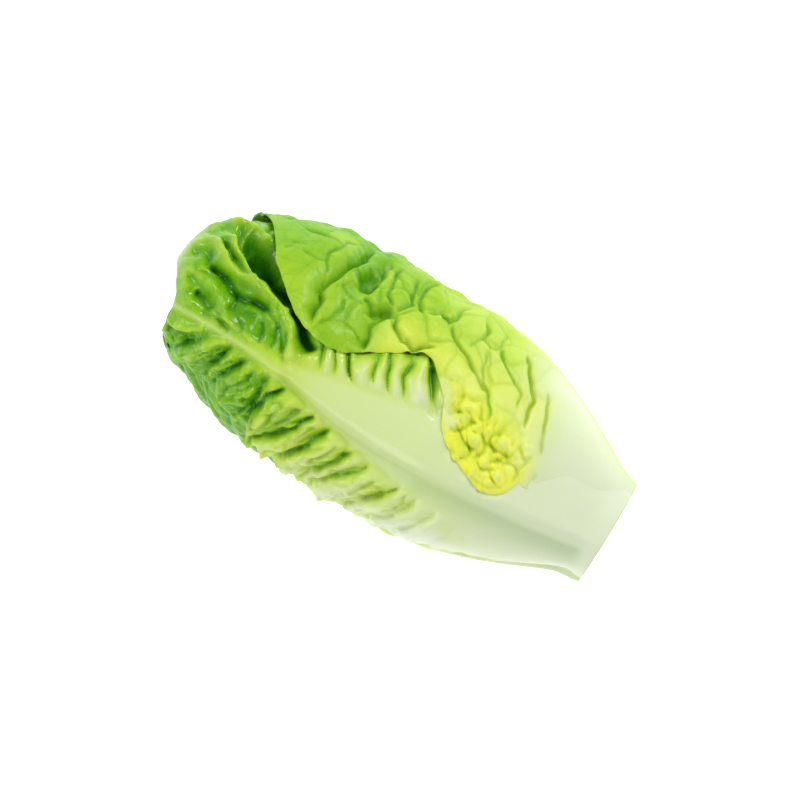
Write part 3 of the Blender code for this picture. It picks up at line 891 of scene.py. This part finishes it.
def surfaces(sheet):
    """The outer and inner faces of a sheet, as grids of points in metres."""
    outer = in_head(sheet.station, sheet.bearing, sheet.skin + sheet.lift, sheet.leaf.inset)
    down_rows = np.gradient(outer, axis=0)
    down_columns = np.gradient(outer, axis=1)
    normal = np.cross(down_rows, down_columns)
    normal /= np.linalg.norm(normal, axis=-1, keepdims=True) + 1e-12
    angle = np.radians(sheet.bearing)
    outward = np.stack([0 * angle, -np.sin(angle), np.cos(angle)], axis=-1)
    if np.sum(normal * outward) < 0:
        normal = -normal
    inner = outer - normal * sheet.thickness()[..., None] * MM
    inner[..., 0] = np.maximum(inner[..., 0], CUT_X * MM)
    return outer, inner


def note_in_ceiling(sheet, inner):
    """Marks how low a leaf's inner face comes, for the leaves still to be made."""
    y = -(inner[..., 1] / MM - AXIS_Y)
    z = (inner[..., 2] / MM - AXIS_Z) / FLATNESS
    row, column = ceiling_place(inner[..., 0] / MM - CUT_X, np.degrees(np.arctan2(y, z)))
    radius = np.hypot(y, z)
    i = np.round(row).astype(int)
    j = np.round(column).astype(int)
    for di in (-1, 0, 1):
        for dj in (-1, 0, 1):
            near = np.clip(i + di, 0, CEILING_ROWS - 1), (j + dj) % CEILING_COLUMNS
            np.minimum.at(ceiling, near, radius)


def mesh_of(bm, name, material):
    """Turns a finished bmesh into a mesh with one material."""
    mesh = bpy.data.meshes.new(name)
    bm.to_mesh(mesh)
    bm.free()
    mesh.materials.append(material)
    return mesh


def in_scene(name, data):
    thing = bpy.data.objects.new(name, data)
    bpy.context.scene.collection.objects.link(thing)
    return thing


def build_leaf(sheet, material):
    """A flat slab of leaf is cut to a grid, then every point is carried to its place in the head."""
    outer, inner = surfaces(sheet)
    note_in_ceiling(sheet, inner)
    bm = bmesh.new()
    bmesh.ops.create_grid(bm, x_segments=sheet.rows, y_segments=sheet.columns, size=1)
    grown = bmesh.ops.extrude_face_region(bm, geom=bm.faces[:], use_keep_orig=True)
    lower = [part for part in grown["geom"] if isinstance(part, bmesh.types.BMVert)]
    bmesh.ops.translate(bm, verts=lower, vec=(0, 0, 1))
    bmesh.ops.recalc_face_normals(bm, faces=bm.faces)
    mesh = mesh_of(bm, sheet.leaf.node + "_blade", material)

    count = len(mesh.vertices)
    flat = np.zeros(count * 3, np.float32)
    mesh.vertices.foreach_get("co", flat)
    flat = flat.reshape(-1, 3)
    i = np.round((flat[:, 0] + 1) / 2 * sheet.rows).astype(int)
    j = np.round((flat[:, 1] + 1) / 2 * sheet.columns).astype(int)
    is_inner = flat[:, 2] > 0.5
    placed = np.where(is_inner[:, None], inner[i, j], outer[i, j])
    mesh.vertices.foreach_set("co", placed.astype(np.float32).ravel())
    for name in ("tone", "rib", "painted_shade", "warm"):
        values = getattr(sheet, name)[i, j]
        if name == "painted_shade":
            values = np.where(is_inner, 0, values)
        layer = mesh.attributes.new(name, "FLOAT", "POINT")
        layer.data.foreach_set("value", np.clip(values, 0, 1.2).astype(np.float32))
    corners = np.zeros(len(mesh.loops), np.int32)
    mesh.loops.foreach_get("vertex_index", corners)
    unrolled = np.stack([sheet.station[i, j], sheet.out[i, j]], axis=-1)[corners] / UV_MM
    mesh.uv_layers.new(name="leaf").data.foreach_set("uv", unrolled.astype(np.float32).ravel())
    mesh.update()
    mesh.shade_smooth()
    piece = in_scene(mesh.name, mesh)
    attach(piece, "root")
    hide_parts(sheet.leaf.node)


# ---------------------------------------------------------------- materials

def new_material(name):
    """A new material, its node tree and its shader."""
    made = bpy.data.materials.new(name)
    made.use_nodes = True
    return made, made.node_tree, made.node_tree.nodes["Principled BSDF"]


def set_inputs(node, values):
    for name, value in values.items():
        node.inputs[name].default_value = value


def add(tree, kind, **values):
    """A new node with its properties set."""
    node = tree.nodes.new(kind)
    for name, value in values.items():
        setattr(node, name, value)
    return node


def attribute(tree, name):
    return add(tree, "ShaderNodeAttribute", attribute_name=name).outputs["Fac"]


def noise(tree, vector, scale, detail):
    node = add(tree, "ShaderNodeTexNoise")
    set_inputs(node, {"Scale": scale, "Detail": detail})
    tree.links.new(vector, node.inputs["Vector"])
    return node


def remapped(tree, value, low, high, to_low=0, to_high=1):
    """A value carried from one range to another, and held inside it."""
    node = add(tree, "ShaderNodeMapRange")
    set_inputs(node, {"From Min": low, "From Max": high, "To Min": to_low, "To Max": to_high})
    tree.links.new(value, node.inputs["Value"])
    return node.outputs[0]


def raised(tree, height, strength, distance, under=None):
    """Fine relief by a height, laid over the relief under it if there is any."""
    node = add(tree, "ShaderNodeBump")
    set_inputs(node, {"Strength": strength, "Distance": distance})
    tree.links.new(height, node.inputs["Height"])
    if under is not None:
        tree.links.new(under, node.inputs["Normal"])
    return node.outputs[0]


def math_node(tree, operation, a, b):
    """One sum of two values, each a number or a socket."""
    node = add(tree, "ShaderNodeMath", operation=operation)
    for socket, value in zip(node.inputs, (a, b)):
        if isinstance(value, (int, float)):
            socket.default_value = value
        else:
            tree.links.new(value, socket)
    return node.outputs[0]


def mixed(tree, share, first, second):
    """One colour laid over another by a share, which may be a number or a socket."""
    node = add(tree, "ShaderNodeMix", data_type="RGBA")
    for socket, value in zip((node.inputs[0], node.inputs[6], node.inputs[7]), (share, first, second)):
        if isinstance(value, (int, float)):
            socket.default_value = value
        elif isinstance(value, tuple):
            socket.default_value = (*value, 1)
        else:
            tree.links.new(value, socket)
    return node.outputs[2]


def colour_ramp(tree, fac, stops):
    """A colour found by a value among stops, each a place and its colour."""
    node = add(tree, "ShaderNodeValToRGB")
    elements = node.color_ramp.elements
    while len(elements) < len(stops):
        elements.new(0.5)
    for element, (place, colour) in zip(elements, stops):
        element.position = place
        element.color = (*colour, 1)
    tree.links.new(fac, node.inputs[0])
    return node.outputs[0]


# The leaf's colours by its tone, from the pale base to the dark tip, and the colours of the painted shade
# laid into its creases and hollows.
LEAF_TONES = (
    (0.0, (0.68, 0.745, 0.545)),
    (0.15, (0.60, 0.715, 0.31)),
    (0.32, (0.50, 0.66, 0.085)),
    (0.50, (0.33, 0.55, 0.020)),
    (0.68, (0.175, 0.43, 0.004)),
    (0.85, (0.085, 0.32, 0.002)),
    (1.0, (0.035, 0.21, 0.001)),
)
RIB_COLOUR = (0.52, 0.66, 0.22)
PAINTED_SHADE_TONES = (
    (0.0, (0.36, 0.51, 0.27)),
    (0.12, (0.38, 0.53, 0.15)),
    (0.22, (0.40, 0.51, 0.004)),
    (0.32, (0.22, 0.40, 0.003)),
    (0.45, (0.10, 0.34, 0.002)),
    (0.75, (0.010, 0.17, 0.002)),
)
WARM_COLOUR = (0.84, 0.86, 0.05)


def vein_net(tree, place):
    """A net of fine veins over the leaf, 1 on a vein and 0 between them."""
    shaken = add(tree, "ShaderNodeMix", data_type="RGBA", blend_type="LINEAR_LIGHT")
    shaken.inputs[0].default_value = 0.035
    tree.links.new(place, shaken.inputs[6])
    tree.links.new(noise(tree, place, 14, 3).outputs["Color"], shaken.inputs[7])
    net = add(tree, "ShaderNodeTexVoronoi", feature="DISTANCE_TO_EDGE")
    net.inputs["Scale"].default_value = 17
    tree.links.new(shaken.outputs[2], net.inputs["Vector"])
    return remapped(tree, net.outputs["Distance"], 0, 0.07, 1, 0)


def leaf_material(name, gloss, coat):
    """Leaf: pale at the rib, green in the blade, painted shade in its creases, fine veins and a wet-looking
    skin.
    """
    made, tree, shader = new_material(name)
    tone = attribute(tree, "tone")
    place = add(tree, "ShaderNodeUVMap", uv_map="leaf").outputs[0]
    space = add(tree, "ShaderNodeTexCoord").outputs["Object"]
    blade = remapped(tree, tone, 0.22, 0.5)
    veined = math_node(tree, "MULTIPLY", vein_net(tree, place), blade)
    mottle = noise(tree, space, 160, 5).outputs["Fac"]

    uneven = math_node(tree, "MULTIPLY", math_node(tree, "SUBTRACT", mottle, 0.5), 0.16)
    varied = math_node(tree, "ADD", tone, math_node(tree, "MULTIPLY", uneven, blade))
    varied = math_node(tree, "ADD", varied, math_node(tree, "MULTIPLY", veined, 0.05))
    colour = colour_ramp(tree, varied, LEAF_TONES)
    colour = mixed(tree, attribute(tree, "rib"), colour, RIB_COLOUR)
    colour = mixed(tree, attribute(tree, "warm"), colour, WARM_COLOUR)
    # Painted shade: the colour is darkened towards the shade colours in the creases and hollows.
    folded = math_node(tree, "MULTIPLY", attribute(tree, "painted_shade"), 0.85)
    colour = mixed(tree, folded, colour, colour_ramp(tree, tone, PAINTED_SHADE_TONES))
    tree.links.new(colour, shader.inputs["Base Color"])

    roughness = remapped(tree, varied, 0.3, 0.8, 0.62 - gloss, 0.44 - gloss)
    tree.links.new(roughness, shader.inputs["Roughness"])
    set_inputs(shader, {
        "Subsurface Weight": 0.2,
        "Subsurface Radius": (0.9, 1.0, 0.15),
        "Subsurface Scale": 0.0012,
        "Specular IOR Level": 0.2,
        "Coat Weight": coat,
        "Coat Roughness": 0.12,
    })

    grain = raised(tree, noise(tree, space, 1500, 2).outputs["Fac"], 0.12, 0.0003)
    veins = raised(tree, math_node(tree, "MULTIPLY", veined, -1.0), 0.25, 0.0002, grain)
    skin = raised(tree, math_node(tree, "MULTIPLY", mottle, blade), 0.3, 0.0009, veins)
    tree.links.new(skin, shader.inputs["Normal"])
    return made


CUT_RIM = 17.0  # the radius at which the cut face's rings end
FLESH_TONES = ((0.3, (0.62, 0.64, 0.42)), (0.5, (0.69, 0.72, 0.50)), (0.75, (0.75, 0.78, 0.58)))
RING_TINTS = (
    (0.0, (0.84, 0.86, 0.76)),
    (0.45, (0.93, 0.95, 0.84)),
    (0.60, (0.72, 0.82, 0.56)),
    (0.66, (0.90, 0.94, 0.78)),
    (0.88, (0.95, 0.95, 0.86)),
    (0.97, (0.70, 0.60, 0.40)),
)


def stem_material():
    """Cut stem: pale flesh, with a ring of strands and a slight browning at the rim of the cut."""
    made, tree, shader = new_material("stem_flesh")
    space = add(tree, "ShaderNodeTexCoord").outputs["Object"]
    grain = noise(tree, space, 900, 6).outputs["Fac"]
    flesh = colour_ramp(tree, grain, FLESH_TONES)
    split = add(tree, "ShaderNodeSeparateXYZ")
    tree.links.new(space, split.inputs[0])
    sideways = math_node(tree, "SUBTRACT", split.outputs["Y"], AXIS_Y * MM)
    upward = math_node(tree, "SUBTRACT", split.outputs["Z"], AXIS_Z * MM)
    upward = math_node(tree, "DIVIDE", upward, FLATNESS)
    sideways_squared = math_node(tree, "MULTIPLY", sideways, sideways)
    upward_squared = math_node(tree, "MULTIPLY", upward, upward)
    squares = math_node(tree, "ADD", sideways_squared, upward_squared)
    radius = math_node(tree, "DIVIDE", math_node(tree, "POWER", squares, 0.5), CUT_RIM * MM)
    uneven = math_node(tree, "ADD", radius, math_node(tree, "MULTIPLY", grain, 0.08))
    tinted = add(tree, "ShaderNodeMix", data_type="RGBA", blend_type="MULTIPLY")
    tinted.inputs[0].default_value = 1
    tree.links.new(flesh, tinted.inputs[6])
    tree.links.new(colour_ramp(tree, uneven, RING_TINTS), tinted.inputs[7])
    tree.links.new(tinted.outputs[2], shader.inputs["Base Color"])
    set_inputs(shader, {
        "Roughness": 0.5,
        "Subsurface Weight": 0.2,
        "Subsurface Radius": (1.0, 1.0, 0.5),
        "Subsurface Scale": 0.003,
    })
    tree.links.new(raised(tree, grain, 0.4, 0.0006), shader.inputs["Normal"])
    return made


# The cut face with its rounded rim, and the stem's pointed inner end, as (station, radius).
CUT_FACE = (
    (0.7, 0), (0.6, 3), (0.45, 6), (0.3, 9), (0.2, 12), (0.15, 14.2), (0.2, 15.8), (0.7, 16.2), (2.5, 15),
    (6, 12.4),
)
STEM_END = (37.6, 0)


def make_stem(material):
    """The cone of stem, cut across a little unevenly."""
    bm = bmesh.new()
    outline = (*CUT_FACE, *STEM_OUTLINE[2:], STEM_END)
    profile = [bm.verts.new((station * MM, 0, radius * MM)) for station, radius in outline]
    edges = [bm.edges.new(pair) for pair in zip(profile, profile[1:])]
    bmesh.ops.spin(
        bm, geom=profile + edges, cent=(0, 0, 0), axis=(1, 0, 0), angle=2 * np.pi, steps=72, use_merge=True,
    )
    bmesh.ops.remove_doubles(bm, verts=bm.verts, dist=1e-6)
    bmesh.ops.recalc_face_normals(bm, faces=bm.faces)
    bmesh.ops.scale(bm, verts=bm.verts, vec=(1, 1, FLATNESS))
    bmesh.ops.translate(bm, verts=bm.verts, vec=(CUT_X * MM, AXIS_Y * MM, AXIS_Z * MM))
    mesh = mesh_of(bm, "stem_core", material)
    mesh.shade_smooth()
    piece = in_scene("stem_core", mesh)
    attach(piece, "root")
    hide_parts("stem")


# ---------------------------------------------------------------- stage

VIEW_ROLL = 211.4  # turns the camera so that the leaf tips point to the upper left
AIM_STATION, AIM_SIDEWAYS = 77.4, 1.6
VIEW_WIDTH = 251.0  # across the picture, at the height of the head's axis
LENS = 250.0
SENSOR = 36.0


def make_camera():
    """A camera straight above the head, far enough away to draw it nearly without perspective."""
    data = bpy.data.cameras.new("camera")
    data.lens = LENS
    data.sensor_width = SENSOR
    data.clip_end = 20
    camera = in_scene("camera", data)
    height = AXIS_Z + VIEW_WIDTH * LENS / SENSOR
    camera.location = ((CUT_X + AIM_STATION) * MM, (AXIS_Y - AIM_SIDEWAYS) * MM, height * MM)
    camera.rotation_euler = (0, 0, np.radians(VIEW_ROLL))
    bpy.context.scene.camera = camera


def make_floor():
    """A wide white floor that glows a little, as a lit table does."""
    paint, _, shader = new_material("floor_white")
    set_inputs(shader, {
        "Base Color": (0.93, 0.93, 0.93, 1),
        "Roughness": 0.9,
        "Specular IOR Level": 0.1,
        "Emission Color": (1, 1, 1, 1),
        "Emission Strength": 0.45,
    })
    bm = bmesh.new()
    bmesh.ops.create_grid(bm, x_segments=1, y_segments=1, size=6)
    in_scene("floor", mesh_of(bm, "floor", paint))


def area_light(name, place, size, power):
    """A square soft box that faces the middle of the head."""
    data = bpy.data.lights.new(name, "AREA")
    data.size = size
    data.energy = power
    light = in_scene(name, data)
    light.location = place
    aim = Vector((-place[0], -place[1], AXIS_Z * MM - place[2]))
    light.rotation_mode = "QUATERNION"
    light.rotation_quaternion = aim.to_track_quat("-Z", "Y")


def make_lights():
    """A key light from the -Y side, three weaker ones round the head, and pale studio walls."""
    area_light("key", (-0.18, -0.97, 0.95), 0.5, 12.5)
    area_light("tip_fill", (1.2, 0.1, 0.8), 0.45, 5.5)
    area_light("low_fill", (0.1, 1.2, 0.8), 0.8, 9.0)
    area_light("cut_fill", (-1.1, 0.3, 0.9), 0.6, 1.4)
    world = bpy.data.worlds.new("studio")
    world.use_nodes = True
    tree = world.node_tree
    height = add(tree, "ShaderNodeSeparateXYZ")
    tree.links.new(add(tree, "ShaderNodeTexCoord").outputs["Generated"], height.inputs[0])
    walls = colour_ramp(tree, height.outputs["Z"], ((0.0, (0.62, 0.62, 0.62)), (1.0, (0.13, 0.13, 0.13))))
    tree.links.new(walls, tree.nodes["Background"].inputs["Color"])
    bpy.context.scene.world = world
    bpy.context.scene.view_settings.view_transform = "Standard"


# ---------------------------------------------------------------- the head

# Rows and columns of the outermost leaves, and of the others ring by ring.
GRIDS = {LAPPING: (282, 172), FRONT: (282, 172), LOWER: (215, 190)}
RING_GRIDS = ((205, 200), (150, 150), (110, 110), (100, 90), (80, 80), (70, 70))
RING_GREEN = (0.66, 0.80, 0.66, 0.55, 0.46, 0.40)


def make_head():
    """The leaves from the outermost to the innermost, and the stem."""
    materials = {
        "lapping": leaf_material("lapping_leaf_skin", 0.05, 0.06),
        "outer": leaf_material("outer_leaf_skin", 0.17, 0.26),
        "middle": leaf_material("middle_leaf_skin", 0.12, 0.2),
        "heart": leaf_material("heart_leaf_skin", 0.08, 0.15),
    }
    for number in range(RINGS * LEAVES_IN_RING):
        leaf = Leaf(number)
        sheet = Sheet(leaf, *GRIDS.get(number, RING_GRIDS[leaf.ring]))
        growth_tone(sheet, green=RING_GREEN[leaf.ring])
        if number == FRONT:
            front_leaf_relief(sheet)
        elif number == LAPPING:
            hidden = ramp(sheet.bearing, 66, 100)
            midrib(sheet)
            side_veins(sheet, hidden, seed=100)
            lapping_leaf_relief(sheet)
        else:
            midrib(sheet)
            side_veins(sheet, 1.0, seed=100 + 10 * number)
        if number > 0:
            hold_under_ceiling(sheet)
        shade_by_relief(sheet)
        build_leaf(sheet, materials["lapping" if number == LAPPING else leaf.kind])
    make_stem(stem_material())


make_camera()
make_floor()
make_lights()
make_head()
